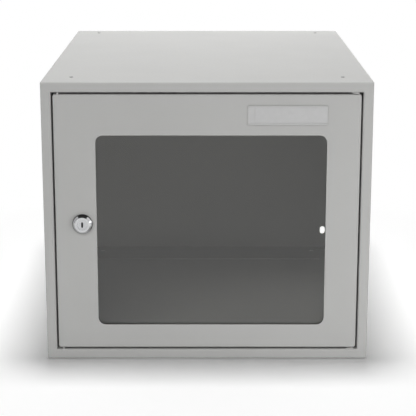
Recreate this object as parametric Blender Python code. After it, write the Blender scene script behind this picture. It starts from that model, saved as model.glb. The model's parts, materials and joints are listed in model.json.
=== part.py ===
# Cube locker: a folded steel carcass with a windowed, lockable door.
# Metres, +Z up. The origin is under the middle of the carcass and the door faces -Y.
# Depths are measured from the front plane of the carcass, towards the back.

import bpy
import bmesh
from functools import partial
from math import cos, sin, tan, pi, radians, acos, copysign
from mathutils import Vector

# Carcass, one folded sheet with the front frame on it
BODY_WIDTH = 0.400
BODY_HEIGHT = 0.350
BODY_DEPTH = 0.500
BODY_SHEET = 0.0010
BODY_CORNER_RADIUS = 0.0012
BODY_BEND = 0.0009
FRAME_FACE = 0.0125
STOP_LIP = 0.0080
MITRE_RADIUS = 0.0004

# Gap that touching pieces keep
FIT = 0.0003

# Holes for joining lockers, through the top and the floor
STACK_HOLE = 0.0050
STACK_HOLE_FROM_SIDE = 0.0340
STACK_HOLE_FROM_FRONT = 0.0400
STACK_HOLE_FROM_BACK = 0.0240

# Back panel, a tray set into the rear of the carcass
BACK_SHEET = 0.0010
BACK_BEND = 0.0006
BACK_CORNER_RADIUS = 0.0020
BACK_FLANGE = 0.0150
FLOOR_FLANGE = 0.0680
FLOOR_FLANGE_NOTCH = 0.0250
FLOOR_FLANGE_CLEAR = 0.0100
WALL_SLOT_WIDTH = 0.0080
WALL_SLOT_HEIGHT = 0.0120
WALL_SLOT_FROM_SIDE = 0.0150
WALL_SLOT_FROM_END = 0.0303

# Door pan
DOOR_SIDE_GAP = 0.0020
DOOR_END_GAP = 0.0023
DOOR_SHEET = 0.0010
DOOR_DEPTH = 0.0160
DOOR_CORNER_RADIUS = 0.0030
DOOR_BEND = 0.0008
DOOR_RETURN = 0.0120
WINDOW_LEFT = 0.0505
WINDOW_RIGHT = 0.0405
WINDOW_TOP = 0.0502
WINDOW_BOTTOM = 0.0302
WINDOW_CORNER_RADIUS = 0.0090
WINDOW_EDGE_ROUND = 0.0003

# Window pane, its gasket and the strips that hold it
GASKET_THICK = 0.0010
GASKET_SETBACK = 0.0020
GASKET_WIDTH = 0.0055
PANE_THICK = 0.0030
PANE_LAP = 0.0080
PANE_CORNER_RADIUS = 0.0040
PANE_NOTCH_CLEAR = 0.0005
STRIP_SHEET = 0.0010
STRIP_BEND = 0.0004
STRIP_SETBACK = 0.0020
STRIP_PANE_CLEAR = 0.0008
STRIP_FOOT = 0.0095
STRIP_END_GAP = 0.0100
STRIP_LOCK_CLEAR = 0.0120
STUD_DIAMETER = 0.0040
STUD_LENGTH = 0.0072
STUD_CHAMFER = 0.0005
STUD_FROM_STRIP_END = 0.0150
STUD_NUT_ACROSS = 0.0070
STUD_NUT_THICK = 0.0032

# Pivot hinges at the right edge of the door
PIVOT_FROM_EDGE = 0.0075
PIVOT_FROM_FRONT = 0.0060
PIVOT_PIN = 0.0035
PIVOT_HEAD = 0.0066
PIVOT_HEAD_THICK = 0.0015
PIVOT_PIN_TAIL = 0.0015
PIVOT_CHAMFER = 0.0004
TAB_WIDTH = 0.0088
TAB_FRONT_INSET = 0.0004
BUSH_WALL = 0.0007
BUSH_COLLAR = 0.0074
BUSH_COLLAR_THICK = 0.0010
LUG_SHEET = 0.0015
LUG_BEND = 0.0004
LUG_LEG = 0.0220

# Nibs in the gap that centre the closing door at its lock side
GUIDE_WIDTH = 0.0016
GUIDE_LENGTH = 0.0080
GUIDE_FROM_EDGE = 0.0061

# Rubber buffers on the stop lip
BUFFER_HEAD = 0.0068
BUFFER_HEAD_THICK = 0.0034
BUFFER_HEAD_ROUND = 0.0006
BUFFER_STEM = 0.0034
BUFFER_BARB = 0.0050
BUFFER_BARB_LENGTH = 0.0028
BUFFER_BARB_TIP = 0.0030
BUFFER_FROM_DOOR_END = 0.0550

# Cam lock
LOCK_FROM_EDGE = 0.0330
LOCK_BEZEL = 0.0248
LOCK_FACE = 0.0182
LOCK_PROUD = 0.0062
LOCK_BEZEL_FOOT = 0.0026
LOCK_BODY = 0.0184
LOCK_BODY_FLATS = 0.0164
LOCK_PLUG = 0.0120
LOCK_PLUG_CHAMFER = 0.0003
KEY_SLOT_WIDTH = 0.0022
KEY_SLOT_HEIGHT = 0.0064
KEY_SLOT_DEPTH = 0.0090
LOCK_TAIL = 0.0072
LOCK_TAIL_CORNER = 0.0088
LOCK_WASHER = 0.0216
LOCK_WASHER_THICK = 0.0008
LOCK_NUT_ACROSS = 0.0220
LOCK_NUT_THICK = 0.0040
CAM_REACH = 0.0360
CAM_WIDTH = 0.0170
CAM_TIP_WIDTH = 0.0110
CAM_THICK = 0.0020
CAM_BEHIND_LIP = 0.0013
CAM_WASHER = 0.0120
CAM_WASHER_THICK = 0.0010
CAM_BOLT = 0.0048
CAM_BOLT_LENGTH = 0.0110
CAM_BOLT_HEAD_ACROSS = 0.0080
CAM_BOLT_HEAD_THICK = 0.0034

# Label holder and its blank card
LABEL_WIDTH = 0.0960
LABEL_HEIGHT = 0.0230
LABEL_FROM_TOP = 0.0137
LABEL_BASE = 0.0006
LABEL_RAIL = 0.0005
LABEL_RAIL_LIP = 0.0016
LABEL_RAIL_WALL = 0.0006
CARD_THICK = 0.0003
CARD_SHORTFALL = 0.0087

# How far a cutter runs past what it cuts
OVERRUN = 0.0020

# Faces in the round shapes
CORNER_STEPS = 5
BEND_STEPS = 4
HOLE_SIDES = 20
SMALL_SIDES = 12
LOCK_SIDES = 36
SMOOTH_BELOW = radians(38)

# Colours, roughness and metallic value of each finish
FINISHES = {
    "powder_coat": ((0.402, 0.402, 0.394), 0.48, 0.0),
    "zinc": ((0.56, 0.57, 0.58), 0.34, 1.0),
    "chrome": ((0.72, 0.73, 0.74), 0.12, 1.0),
    "satin_chrome": ((0.60, 0.61, 0.62), 0.30, 1.0),
    "clear_sheet": ((0.92, 0.93, 0.93), 0.04, 0.0),
    "black_rubber": ((0.012, 0.012, 0.013), 0.75, 0.0),
    "white_nylon": ((0.68, 0.67, 0.64), 0.50, 0.0),
    "label_frame": ((0.46, 0.46, 0.455), 0.40, 0.0),
    "label_card": ((0.50, 0.50, 0.49), 0.80, 0.0),
}

# Places worked out from the sizes above
FRONT = -BODY_DEPTH / 2
MID_HEIGHT = BODY_HEIGHT / 2
OPENING_HALF = (BODY_WIDTH / 2 - FRAME_FACE, BODY_HEIGHT / 2 - FRAME_FACE)
DOOR_HALF = (OPENING_HALF[0] - DOOR_SIDE_GAP, OPENING_HALF[1] - DOOR_END_GAP)
DOOR_RIGHT = DOOR_HALF[0]
DOOR_LEFT = -DOOR_HALF[0]
DOOR_TOP = MID_HEIGHT + DOOR_HALF[1]
DOOR_BOTTOM = MID_HEIGHT - DOOR_HALF[1]
WINDOW_SIDES = (DOOR_LEFT + WINDOW_LEFT, DOOR_RIGHT - WINDOW_RIGHT)
WINDOW_ENDS = (DOOR_BOTTOM + WINDOW_BOTTOM, DOOR_TOP - WINDOW_TOP)
STOP_DEPTH = DOOR_DEPTH + BUFFER_HEAD_THICK + 2 * FIT
GASKET_FRONT = DOOR_SHEET + FIT
PANE_FRONT = GASKET_FRONT + GASKET_THICK + FIT
PANE_BACK = PANE_FRONT + PANE_THICK
PIN_X = DOOR_RIGHT - PIVOT_FROM_EDGE
PIN_Y = FRONT + PIVOT_FROM_FRONT
LOCK_X = DOOR_LEFT + LOCK_FROM_EDGE
CAM_FRONT = STOP_DEPTH + BODY_SHEET + CAM_BEHIND_LIP
CAM_BACK = CAM_FRONT + CAM_THICK
LOCK_BODY_END = CAM_FRONT - FIT
DOOR_AXIS = Vector((PIN_X, PIN_Y, MID_HEIGHT))
LOCK_AXIS = Vector((LOCK_X, FRONT, MID_HEIGHT))
HERE = Vector((0, 0, 0))


def clear_scene():
    for thing in list(bpy.data.objects):
        bpy.data.objects.remove(thing, do_unlink=True)


def finish(name, kind):
    # A material for one piece, with the colour of its finish.
    colour, roughness, metallic = FINISHES[kind]
    material = bpy.data.materials.new(name + "_" + kind)
    material.use_nodes = True
    shader = material.node_tree.nodes["Principled BSDF"]
    shader.inputs["Base Color"].default_value = (*colour, 1)
    shader.inputs["Roughness"].default_value = roughness
    shader.inputs["Metallic"].default_value = metallic
    return material


def add_axis(name, parent, place, parent_place):
    # An empty on a joint's axis, which the pieces of a moving body hang on.
    axis = bpy.data.objects.new(name, None)
    axis.parent = parent
    axis.location = place - parent_place
    bpy.context.collection.objects.link(axis)
    return axis


def make_mesh(name, shape, place=HERE):
    # The shape as a mesh whose zero is at the given place.
    bmesh.ops.recalc_face_normals(shape, faces=shape.faces)
    bmesh.ops.translate(shape, verts=shape.verts, vec=-place)
    mesh = bpy.data.meshes.new(name)
    shape.to_mesh(mesh)
    shape.free()
    mesh.shade_smooth()
    mesh.set_sharp_from_angle(angle=SMOOTH_BELOW)
    return mesh


def add_piece(name, mesh, kind, body, at=HERE, turn=0):
    # One sub-part on its body, turned about Y where it repeats round the window.
    if not mesh.materials:
        mesh.materials.append(None)
    piece = bpy.data.objects.new(name, mesh)
    bpy.context.collection.objects.link(piece)
    piece.material_slots[0].link = "OBJECT"
    piece.material_slots[0].material = finish(name, kind)
    piece.parent = body
    piece.location = at
    piece.rotation_euler = (0, turn, 0)
    return piece


def cut(piece, shapes, place=HERE):
    # Takes the shapes out of the piece, through one hidden cutter.
    joined = shapes[0]
    for shape in shapes[1:]:
        mesh = bpy.data.meshes.new("part_of_cutter")
        shape.to_mesh(mesh)
        shape.free()
        joined.from_mesh(mesh)
        bpy.data.meshes.remove(mesh)
    cutter = bpy.data.objects.new(piece.name + "_cutter", make_mesh(piece.name + "_cutter", joined, place))
    bpy.context.collection.objects.link(cutter)
    cutter.parent = piece.parent
    cutter.location = piece.location
    cutter.hide_render = True
    cutter.display_type = "WIRE"
    modifier = piece.modifiers.new("cut", "BOOLEAN")
    modifier.operation = "DIFFERENCE"
    modifier.solver = "EXACT"
    modifier.object = cutter


def soften(piece, width, segments=2):
    # Rounds the sharp edges of a simple piece.
    modifier = piece.modifiers.new("rounded_edges", "BEVEL")
    modifier.width = width
    modifier.segments = segments
    modifier.limit_method = "ANGLE"
    modifier.angle_limit = SMOOTH_BELOW


def circle(radius, sides):
    return [(radius * cos(2 * pi * k / sides), radius * sin(2 * pi * k / sides)) for k in range(sides)]


def flatted(radius, half_u, half_v, sides):
    # A circle cut off flat at either side, as on a lock body or a square tail.
    return [(copysign(min(abs(u), half_u), u), copysign(min(abs(v), half_v), v))
            for u, v in circle(radius, sides)]


def hexagon(across, sides):
    # Points go round evenly by angle, so a bore of as many sides can be joined to them.
    outline = []
    for k in range(sides):
        angle = 2 * pi * k / sides
        off_flat = (angle + pi / 6) % (pi / 3) - pi / 6
        reach = across / 2 / cos(off_flat)
        outline.append((reach * cos(angle), reach * sin(angle)))
    return outline


def rounded_rectangle(centre, half, radius, steps=CORNER_STEPS):
    outline = []
    for corner, (side_u, side_v) in enumerate(((1, 1), (-1, 1), (-1, -1), (1, -1))):
        for step in range(steps + 1):
            angle = (corner + step / steps) * pi / 2
            outline.append((centre[0] + side_u * (half[0] - radius) + radius * cos(angle),
                            centre[1] + side_v * (half[1] - radius) + radius * sin(angle)))
    return outline


def rectangle(low, high):
    return [(low[0], low[1]), (high[0], low[1]), (high[0], high[1]), (low[0], high[1])]


def slot_outline(centre, width, height):
    # An upright slot with round ends.
    radius = width / 2
    rise = height / 2 - radius
    upper = [(radius * cos(a), rise + radius * sin(a)) for a in sweep(0, pi, SMALL_SIDES)]
    lower = [(-u, -v) for u, v in upper]
    return moved(upper + lower, centre)


def joined_circles(radius, far_radius, reach, sides):
    # The outline of a lever: two circles and their common tangents, the far one below.
    lean = acos((radius - far_radius) / reach)
    near = [(radius * sin(a), -radius * cos(a)) for a in sweep(lean, 2 * pi - lean, sides)]
    far = [(far_radius * sin(a), -reach - far_radius * cos(a)) for a in sweep(-lean, lean, sides)]
    return near + far


def sweep(start, end, steps):
    return [start + (end - start) * k / steps for k in range(steps + 1)]


def as_point(axis, along, point):
    # A point of an outline, put at its place along X, Y or Z.
    u, v = point
    return {"X": (along, u, v), "Y": (u, along, v), "Z": (u, v, along)}[axis]


def loft(stations, axis="Y", closed=False):
    # Faces from each outline to the next, with flat ends, or closed back to the first.
    shape = bmesh.new()
    rows = []
    for outline, along in stations:
        rows.append([shape.verts.new(as_point(axis, along, point)) for point in outline])
    following = rows[1:] + rows[:1] if closed else rows[1:]
    for row, after in zip(rows, following):
        for k in range(len(row)):
            nearby = (k + 1) % len(row)
            shape.faces.new((row[k], row[nearby], after[nearby], after[k]))
    if not closed:
        shape.faces.new(rows[0])
        shape.faces.new(rows[-1])
    bmesh.ops.recalc_face_normals(shape, faces=shape.faces)
    return shape


def prism(outline, low, high, axis="Y"):
    return loft([(outline, low), (outline, high)], axis)


def moved(outline, centre):
    return [(u + centre[0], v + centre[1]) for u, v in outline]


def drill(centre, diameter, low, high, axis, sides=HOLE_SIDES):
    return prism(moved(circle(diameter / 2, sides), centre), low, high, axis)


def folded_sheet(path, sheet, bend, side, steps=BEND_STEPS):
    # The two faces of a folded sheet. The path runs along one face, the sheet lies on its left
    # (side 1) or right (side -1), and bend is the radius inside each fold.
    legs = [(Vector(b) - Vector(a)).normalized() for a, b in zip(path, path[1:])]
    lefts = [Vector((-leg.y, leg.x)) for leg in legs]
    face = [Vector(path[0])]
    normals = [lefts[0]]
    for corner, before, after, left, left_after in zip(path[1:], legs, legs[1:], lefts, lefts[1:]):
        turn = copysign(1, before.cross(after))
        angle = before.angle(after)
        radius = bend + sheet if turn == side else bend
        centre = Vector(corner) - before * radius * tan(angle / 2) + turn * left * radius
        for share in sweep(0, 1, steps):
            normal = (left * sin((1 - share) * angle) + left_after * sin(share * angle)) / sin(angle)
            face.append(centre - turn * normal * radius)
            normals.append(normal)
    face.append(Vector(path[-1]))
    normals.append(lefts[-1])
    other = [point + side * sheet * normal for point, normal in zip(face, normals)]
    return face, other


def strip_outline(path, sheet, bend, side):
    face, other = folded_sheet(path, sheet, bend, side)
    return [tuple(point) for point in face + other[::-1]]


def frame_ring(half, inset, corner_radius):
    # The outline that a point of a folded frame draws as it goes round all four sides.
    radius = max(corner_radius - inset, MITRE_RADIUS)
    return rounded_rectangle((0, MID_HEIGHT), (half[0] - inset, half[1] - inset), radius)


def stack_hole_places(rear_only=False):
    across = BODY_WIDTH / 2 - STACK_HOLE_FROM_SIDE
    depths = [-FRONT - STACK_HOLE_FROM_BACK]
    if not rear_only:
        depths.append(FRONT + STACK_HOLE_FROM_FRONT)
    return [(side * across, depth) for side in (-1, 1) for depth in depths]


def buffer_places():
    across = -OPENING_HALF[0] + STOP_LIP / 2
    reach = DOOR_HALF[1] - BUFFER_FROM_DOOR_END
    return {"top": (across, MID_HEIGHT + reach), "bottom": (across, MID_HEIGHT - reach)}


def end_height(end, inset):
    # A height measured in from the top (end 1) or the bottom (end -1) of the carcass.
    return MID_HEIGHT + end * (BODY_HEIGHT / 2 - inset)


def make_body_wrap(body):
    # Walls, front face, return and stop lip are one sheet, carried round the four sides.
    path = [(0, BODY_DEPTH), (0, 0), (FRAME_FACE, 0), (FRAME_FACE, STOP_DEPTH),
            (FRAME_FACE + STOP_LIP, STOP_DEPTH)]
    face, other = folded_sheet(path, BODY_SHEET, BODY_BEND, 1)
    half = (BODY_WIDTH / 2, BODY_HEIGHT / 2)
    stations = [(frame_ring(half, inset, BODY_CORNER_RADIUS), FRONT + depth)
                for inset, depth in face + other[::-1]]
    wrap = add_piece("body_wrap", make_mesh("body_wrap", loft(stations, closed=True)), "powder_coat", body)
    holes = [drill(place, STACK_HOLE, low, low + BODY_SHEET + 2 * OVERRUN, "Z")
             for place in stack_hole_places()
             for low in (-OVERRUN, BODY_HEIGHT - BODY_SHEET - OVERRUN)]
    for end in (1, -1):
        rail = [end_height(end, FRAME_FACE + OVERRUN / 2), end_height(end, FRAME_FACE - BODY_SHEET - OVERRUN / 2)]
        holes.append(drill((PIN_X, PIN_Y), PIVOT_PIN + 2 * FIT, min(rail), max(rail), "Z", SMALL_SIDES))
    for place in buffer_places().values():
        lip = FRONT + STOP_DEPTH
        holes.append(drill(place, BUFFER_STEM + 2 * FIT, lip - OVERRUN / 2, lip + BODY_SHEET + OVERRUN / 2,
                           "Y", SMALL_SIDES))
    cut(wrap, holes)


def make_back_panel(body):
    # A tray with its flanges forward. All start as deep as the floor flange and are cut back.
    path = [(BACK_CORNER_RADIUS, 0), (0, 0), (0, FLOOR_FLANGE)]
    face, other = folded_sheet(path, BACK_SHEET, BACK_BEND, -1)
    gap = BODY_SHEET + FIT
    half = (BODY_WIDTH / 2 - gap, BODY_HEIGHT / 2 - gap)
    rows = face[1:] + other[:0:-1]
    stations = [(frame_ring(half, inset, BACK_CORNER_RADIUS), -FRONT - depth) for inset, depth in rows]
    tray = loft(stations)
    panel = add_piece("back_panel", make_mesh("back_panel", tray), "powder_coat", body)
    low = -FRONT - FLOOR_FLANGE - OVERRUN
    high = -FRONT - BACK_FLANGE
    side = BODY_WIDTH / 2
    keep = side - FLOOR_FLANGE_NOTCH
    above = prism(rectangle((-side, FLOOR_FLANGE_CLEAR), (side, BODY_HEIGHT)), low, high)
    beside = [prism(rectangle((min(s * keep, s * side), -OVERRUN), (max(s * keep, s * side), MID_HEIGHT)),
                    low + OVERRUN / 2, high) for s in (-1, 1)]
    cut(panel, [above])
    cut(panel, beside)
    slots = []
    for s in (-1, 1):
        for end in (-1, 1):
            centre = (s * (side - WALL_SLOT_FROM_SIDE), end_height(end, WALL_SLOT_FROM_END))
            slots.append(prism(slot_outline(centre, WALL_SLOT_WIDTH, WALL_SLOT_HEIGHT),
                               -FRONT - BACK_SHEET - OVERRUN, -FRONT + OVERRUN))
    floor = BODY_SHEET + FIT
    holes = [drill(place, STACK_HOLE, floor - OVERRUN, floor + BACK_SHEET + OVERRUN, "Z")
             for place in stack_hole_places(rear_only=True)]
    cut(panel, slots + holes)


def make_pivots(body, door):
    # At the top and the bottom: a tab in the gap, a headed pin through the frame, and in the
    # door a bent lug with a bush for the pin.
    rail = FRAME_FACE - BODY_SHEET
    door_edge = FRAME_FACE + DOOR_END_GAP
    lug_near = door_edge + DOOR_SHEET + FIT
    lug_far = lug_near + LUG_SHEET
    collar_near = lug_far + FIT
    collar_far = collar_near + BUSH_COLLAR_THICK
    pin_end = collar_far + PIVOT_PIN_TAIL
    bore = PIVOT_PIN + 2 * FIT
    bush = bore + 2 * BUSH_WALL
    seat = bush + 2 * FIT
    for end, label in ((1, "top"), (-1, "bottom")):
        up = partial(end_height, end)
        tab = prism(tab_outline(), up(FRAME_FACE + FIT), up(door_edge - FIT), "Z")
        tab_piece = add_piece("pivot_tab_" + label, make_mesh("pivot_tab", tab), "powder_coat", body)
        cut(tab_piece, [drill((PIN_X, PIN_Y), bore, *sorted((up(FRAME_FACE), up(door_edge))), "Z")])
        pin_rows = [(PIVOT_HEAD / 2 - PIVOT_CHAMFER, rail - FIT - PIVOT_HEAD_THICK),
                    (PIVOT_HEAD / 2, rail - FIT - PIVOT_HEAD_THICK + PIVOT_CHAMFER),
                    (PIVOT_HEAD / 2, rail - FIT),
                    (PIVOT_PIN / 2, rail - FIT),
                    (PIVOT_PIN / 2, pin_end - PIVOT_CHAMFER),
                    (PIVOT_PIN / 2 - PIVOT_CHAMFER, pin_end)]
        pin = turned(pin_rows, (PIN_X, PIN_Y), up)
        add_piece("pivot_pin_" + label, make_mesh("pivot_pin", pin), "zinc", body)
        bush_rows = [(bore / 2, door_edge), (bush / 2, door_edge), (bush / 2, collar_near),
                     (BUSH_COLLAR / 2, collar_near), (BUSH_COLLAR / 2, collar_far), (bore / 2, collar_far)]
        bush_shape = turned(bush_rows, (PIN_X, PIN_Y), up, closed=True)
        add_piece("pivot_bush_" + label, make_mesh("pivot_bush", bush_shape, DOOR_AXIS), "white_nylon", door)
        inner = DOOR_RIGHT - DOOR_SHEET - FIT
        corner = [(inner - LUG_LEG, up(lug_near)), (inner, up(lug_near)), (inner, up(lug_near + LUG_LEG))]
        lug = prism(strip_outline(corner, LUG_SHEET, LUG_BEND, -end), FRONT + DOOR_SHEET + FIT,
                    FRONT + DOOR_DEPTH - DOOR_SHEET - FIT)
        lug_piece = add_piece("hinge_lug_" + label, make_mesh("hinge_lug", lug, DOOR_AXIS), "zinc", door)
        cut(lug_piece, [drill((PIN_X, PIN_Y), seat, *sorted((up(lug_near - FIT), up(lug_far + FIT))), "Z")],
            DOOR_AXIS)


def tab_outline():
    # Square at the front of the gap, round about the pin behind it.
    half = TAB_WIDTH / 2
    back = [(PIN_X + half * cos(a), PIN_Y + half * sin(a)) for a in sweep(0, pi, SMALL_SIDES)]
    return [(PIN_X - half, FRONT + TAB_FRONT_INSET), (PIN_X + half, FRONT + TAB_FRONT_INSET)] + back


def turned(rows, centre, up, closed=False):
    # A round piece about an upright axis, from (radius, inset) pairs.
    return loft([(moved(circle(radius, HOLE_SIDES), centre), up(inset)) for radius, inset in rows], "Z", closed)


def make_guides(body):
    x = DOOR_LEFT + GUIDE_FROM_EDGE
    for end, label in ((1, "top"), (-1, "bottom")):
        ends = sorted((end_height(end, FRAME_FACE + FIT), end_height(end, FRAME_FACE + DOOR_END_GAP - FIT)))
        outline = rectangle((x - GUIDE_WIDTH / 2, FRONT + TAB_FRONT_INSET),
                            (x + GUIDE_WIDTH / 2, FRONT + TAB_FRONT_INSET + GUIDE_LENGTH))
        piece = add_piece("door_guide_" + label, make_mesh("door_guide", prism(outline, *ends, "Z")),
                          "powder_coat", body)
        soften(piece, FIT, 1)


def make_buffers(body):
    # A mushroom head before the stop lip, a stem through it and a barb behind.
    front = DOOR_DEPTH + FIT
    head_back = front + BUFFER_HEAD_THICK
    barb_front = STOP_DEPTH + BODY_SHEET + FIT
    rows = [(BUFFER_HEAD / 2 - BUFFER_HEAD_ROUND, front),
            (BUFFER_HEAD / 2, front + BUFFER_HEAD_ROUND),
            (BUFFER_HEAD / 2, head_back),
            (BUFFER_STEM / 2, head_back),
            (BUFFER_STEM / 2, barb_front),
            (BUFFER_BARB / 2, barb_front),
            (BUFFER_BARB_TIP / 2, barb_front + BUFFER_BARB_LENGTH)]
    for label, place in buffer_places().items():
        shape = loft([(moved(circle(radius, HOLE_SIDES), place), FRONT + depth) for radius, depth in rows])
        add_piece("door_buffer_" + label, make_mesh("door_buffer", shape), "black_rubber", body)


def window_ring(grow):
    # The window's outline, moved outwards by grow.
    centre = (sum(WINDOW_SIDES) / 2, sum(WINDOW_ENDS) / 2)
    half = ((WINDOW_SIDES[1] - WINDOW_SIDES[0]) / 2 + grow, (WINDOW_ENDS[1] - WINDOW_ENDS[0]) / 2 + grow)
    return rounded_rectangle(centre, half, WINDOW_CORNER_RADIUS + grow)


def make_door_skin(door):
    # A pan with a flange and a return round its edge, and the window cut out of its face.
    path = [(WINDOW_BOTTOM, 0), (0, 0), (0, DOOR_DEPTH), (DOOR_RETURN, DOOR_DEPTH)]
    face, other = folded_sheet(path, DOOR_SHEET, DOOR_BEND, -1)
    stations = [(frame_ring(DOOR_HALF, inset, DOOR_CORNER_RADIUS), FRONT + depth)
                for inset, depth in face[1:] + other[:0:-1]]
    edge = [(WINDOW_EDGE_ROUND, DOOR_SHEET), (0, DOOR_SHEET - WINDOW_EDGE_ROUND),
            (0, WINDOW_EDGE_ROUND), (WINDOW_EDGE_ROUND, 0)]
    stations += [(window_ring(grow), FRONT + depth) for grow, depth in edge]
    pan = make_mesh("door_skin", loft(stations, closed=True), DOOR_AXIS)
    skin = add_piece("door_skin", pan, "powder_coat", door)
    hole = flatted(LOCK_BODY / 2 + FIT, LOCK_BODY / 2 + FIT, LOCK_BODY_FLATS / 2 + FIT, LOCK_SIDES)
    holes = [prism(moved(hole, (LOCK_X, MID_HEIGHT)), FRONT - OVERRUN, FRONT + DOOR_SHEET + OVERRUN)]
    seat = PIVOT_PIN + 2 * (FIT + BUSH_WALL + FIT)
    for end in (1, -1):
        flange = [end_height(end, FRAME_FACE + DOOR_END_GAP - OVERRUN / 2),
                  end_height(end, FRAME_FACE + DOOR_END_GAP + DOOR_SHEET + OVERRUN / 2)]
        holes.append(drill((PIN_X, PIN_Y), seat, min(flange), max(flange), "Z"))
    cut(skin, holes, DOOR_AXIS)


def lock_notch(front, back):
    # Room round the lock's nut, in what lies near it behind the skin.
    radius = LOCK_NUT_ACROSS / 2 / cos(pi / 6) + PANE_NOTCH_CLEAR
    return drill((LOCK_X, MID_HEIGHT), 2 * radius, FRONT + front - OVERRUN / 2, FRONT + back + OVERRUN / 2,
                 "Y", LOCK_SIDES)


def make_window(door):
    centre = (sum(WINDOW_SIDES) / 2, sum(WINDOW_ENDS) / 2)
    half = ((WINDOW_SIDES[1] - WINDOW_SIDES[0]) / 2 + PANE_LAP,
            (WINDOW_ENDS[1] - WINDOW_ENDS[0]) / 2 + PANE_LAP)
    outline = rounded_rectangle(centre, half, PANE_CORNER_RADIUS)
    sheet = make_mesh("window_pane", prism(outline, FRONT + PANE_FRONT, FRONT + PANE_BACK), DOOR_AXIS)
    pane = add_piece("window_pane", sheet, "clear_sheet", door)
    cut(pane, [lock_notch(PANE_FRONT, PANE_BACK)], DOOR_AXIS)
    inner = window_ring(GASKET_SETBACK)
    outer = window_ring(GASKET_SETBACK + GASKET_WIDTH)
    back = GASKET_FRONT + GASKET_THICK
    ring = loft([(inner, FRONT + GASKET_FRONT), (outer, FRONT + GASKET_FRONT),
                 (outer, FRONT + back), (inner, FRONT + back)], closed=True)
    gasket = add_piece("window_gasket", make_mesh("window_gasket", ring, DOOR_AXIS), "black_rubber", door)
    cut(gasket, [lock_notch(GASKET_FRONT, back)], DOOR_AXIS)


def stud_outwards():
    # How far outside the window's edge the studs stand, in the middle of a strip's foot.
    return PANE_LAP + STRIP_PANE_CLEAR + STRIP_SHEET + STRIP_FOOT / 2


def strip_shape(length):
    # A Z-shaped strip along X, over the pane's edge at the inside and on the skin outside.
    # Its own zero is at the window's edge and the front plane, with outwards as +Z.
    step = PANE_LAP + STRIP_PANE_CLEAR
    path = [(PANE_BACK + FIT, STRIP_SETBACK), (PANE_BACK + FIT, step), (DOOR_SHEET + FIT, step),
            (DOOR_SHEET + FIT, step + STRIP_SHEET + STRIP_FOOT)]
    return prism(strip_outline(path, STRIP_SHEET, STRIP_BEND, -1), -length / 2, length / 2, "X")


def stud_shape():
    rows = [(STUD_DIAMETER / 2, 0), (STUD_DIAMETER / 2, STUD_LENGTH - STUD_CHAMFER),
            (STUD_DIAMETER / 2 - STUD_CHAMFER, STUD_LENGTH)]
    return loft([(circle(radius, SMALL_SIDES), along) for radius, along in rows])


def nut_shape(across, bore, thick, sides):
    return loft([(circle(bore / 2, sides), 0), (hexagon(across, sides), 0),
                 (hexagon(across, sides), thick), (circle(bore / 2, sides), thick)], closed=True)


def strip_places():
    # Each strip's name, its middle on the window's edge, its length and its turn about Y.
    left, right = WINDOW_SIDES
    low, high = WINDOW_ENDS
    lock_clear = LOCK_NUT_ACROSS / 2 / cos(pi / 6) + STRIP_LOCK_CLEAR
    wide = right - left - 2 * STRIP_END_GAP
    tall = high - low - 2 * STRIP_END_GAP
    under = MID_HEIGHT - lock_clear - (low + STRIP_END_GAP)
    over = high - STRIP_END_GAP - (MID_HEIGHT + lock_clear)
    return [("top", ((left + right) / 2, high), wide, 0),
            ("right", (right, (low + high) / 2), tall, pi / 2),
            ("bottom", ((left + right) / 2, low), wide, pi),
            ("lower_left", (left, low + STRIP_END_GAP + under / 2), under, -pi / 2),
            ("upper_left", (left, high - STRIP_END_GAP - over / 2), over, -pi / 2)]


def make_strips(door):
    # Five strips, each held by two studs on the skin and their nuts.
    out = stud_outwards()
    stud_mesh = make_mesh("pane_stud", stud_shape())
    nut_mesh = make_mesh("pane_nut", nut_shape(STUD_NUT_ACROSS, STUD_DIAMETER + 2 * FIT, STUD_NUT_THICK,
                                               SMALL_SIDES))
    stud_depth = DOOR_SHEET + FIT
    nut_depth = DOOR_SHEET + FIT + STRIP_SHEET + FIT
    number = 0
    for label, (x, z), length, turn in strip_places():
        middle = Vector((x, FRONT, z)) - DOOR_AXIS
        along = Vector((cos(turn), 0, -sin(turn)))
        outwards = Vector((sin(turn), 0, cos(turn)))
        strip = add_piece("pane_strip_" + label, make_mesh("pane_strip", strip_shape(length)), "zinc", door,
                          middle, turn)
        reach = length / 2 - STUD_FROM_STRIP_END
        holes = []
        for offset in (-reach, reach):
            number += 1
            spot = middle + along * offset + outwards * out
            add_piece(f"pane_stud_{number}", stud_mesh, "zinc", door, spot + Vector((0, stud_depth, 0)))
            add_piece(f"pane_nut_{number}", nut_mesh, "zinc", door, spot + Vector((0, nut_depth, 0)))
            centre = spot + DOOR_AXIS
            holes.append(drill((centre.x, centre.z), STUD_DIAMETER + 2 * FIT, FRONT + DOOR_SHEET,
                               FRONT + DOOR_SHEET + FIT + STRIP_SHEET + OVERRUN / 2, "Y", SMALL_SIDES))
        drill_strip(strip, holes, door)


def drill_strip(strip, holes, door):
    # The holes stand in the door's own frame, not in the turned strip's.
    cut(strip, holes, DOOR_AXIS)
    cutter = strip.modifiers["cut"].object
    cutter.parent = door
    cutter.location = HERE


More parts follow.
